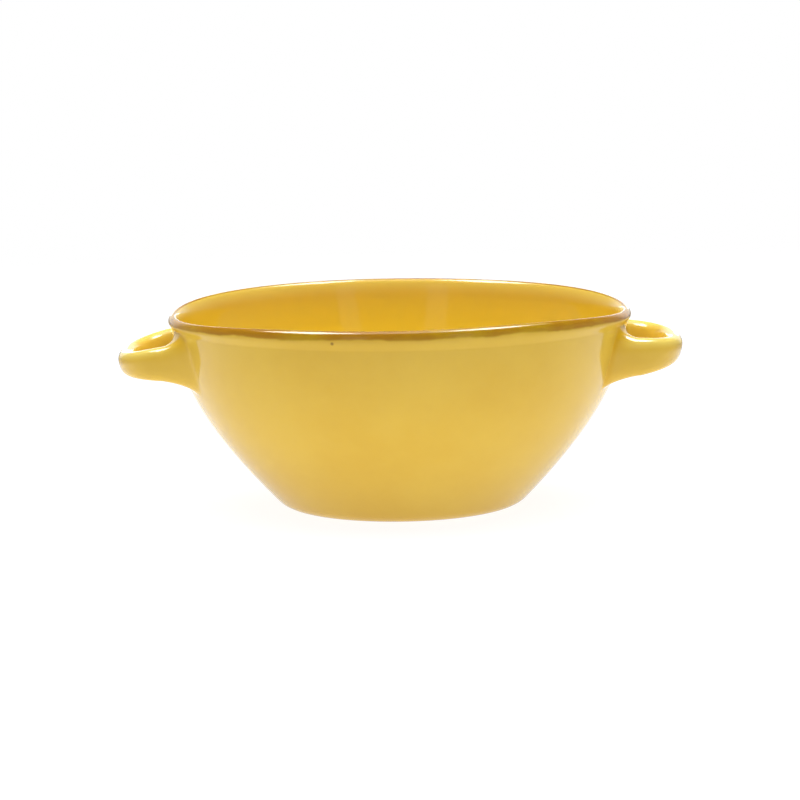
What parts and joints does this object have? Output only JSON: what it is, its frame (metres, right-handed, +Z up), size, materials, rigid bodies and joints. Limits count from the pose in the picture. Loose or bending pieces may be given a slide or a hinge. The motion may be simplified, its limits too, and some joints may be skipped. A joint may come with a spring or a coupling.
{
  "type": "lug soup bowl",
  "caption": "Round flared glazed ceramic soup bowl with a stained lip, a bare foot ring and a level loop handle on each side.",
  "frame": {"origin": "on the table, under the middle of the bowl", "axes": "+Z up; X runs through the two handles; -Y is the front"},
  "size_m": [0.1768, 0.145, 0.0642],
  "materials": {
    "yellow_glaze": "glossy straw-yellow glaze with faint throwing rings and slight mottling",
    "rim_glaze": "glossy brown-stained lip with an uneven lower edge and a paler crest",
    "bare_clay": "unglazed, matt, slightly sandy buff clay"
  },
  "bodies": {
    "root": {"bowl_body": "yellow_glaze", "rim_lip": "rim_glaze", "foot_ring": "bare_clay", "left_handle": "yellow_glaze", "right_handle": "yellow_glaze", "left_front_joint": "yellow_glaze", "left_back_joint": "yellow_glaze", "right_front_joint": "yellow_glaze", "right_back_joint": "yellow_glaze"}
  },
  "joints": []
}
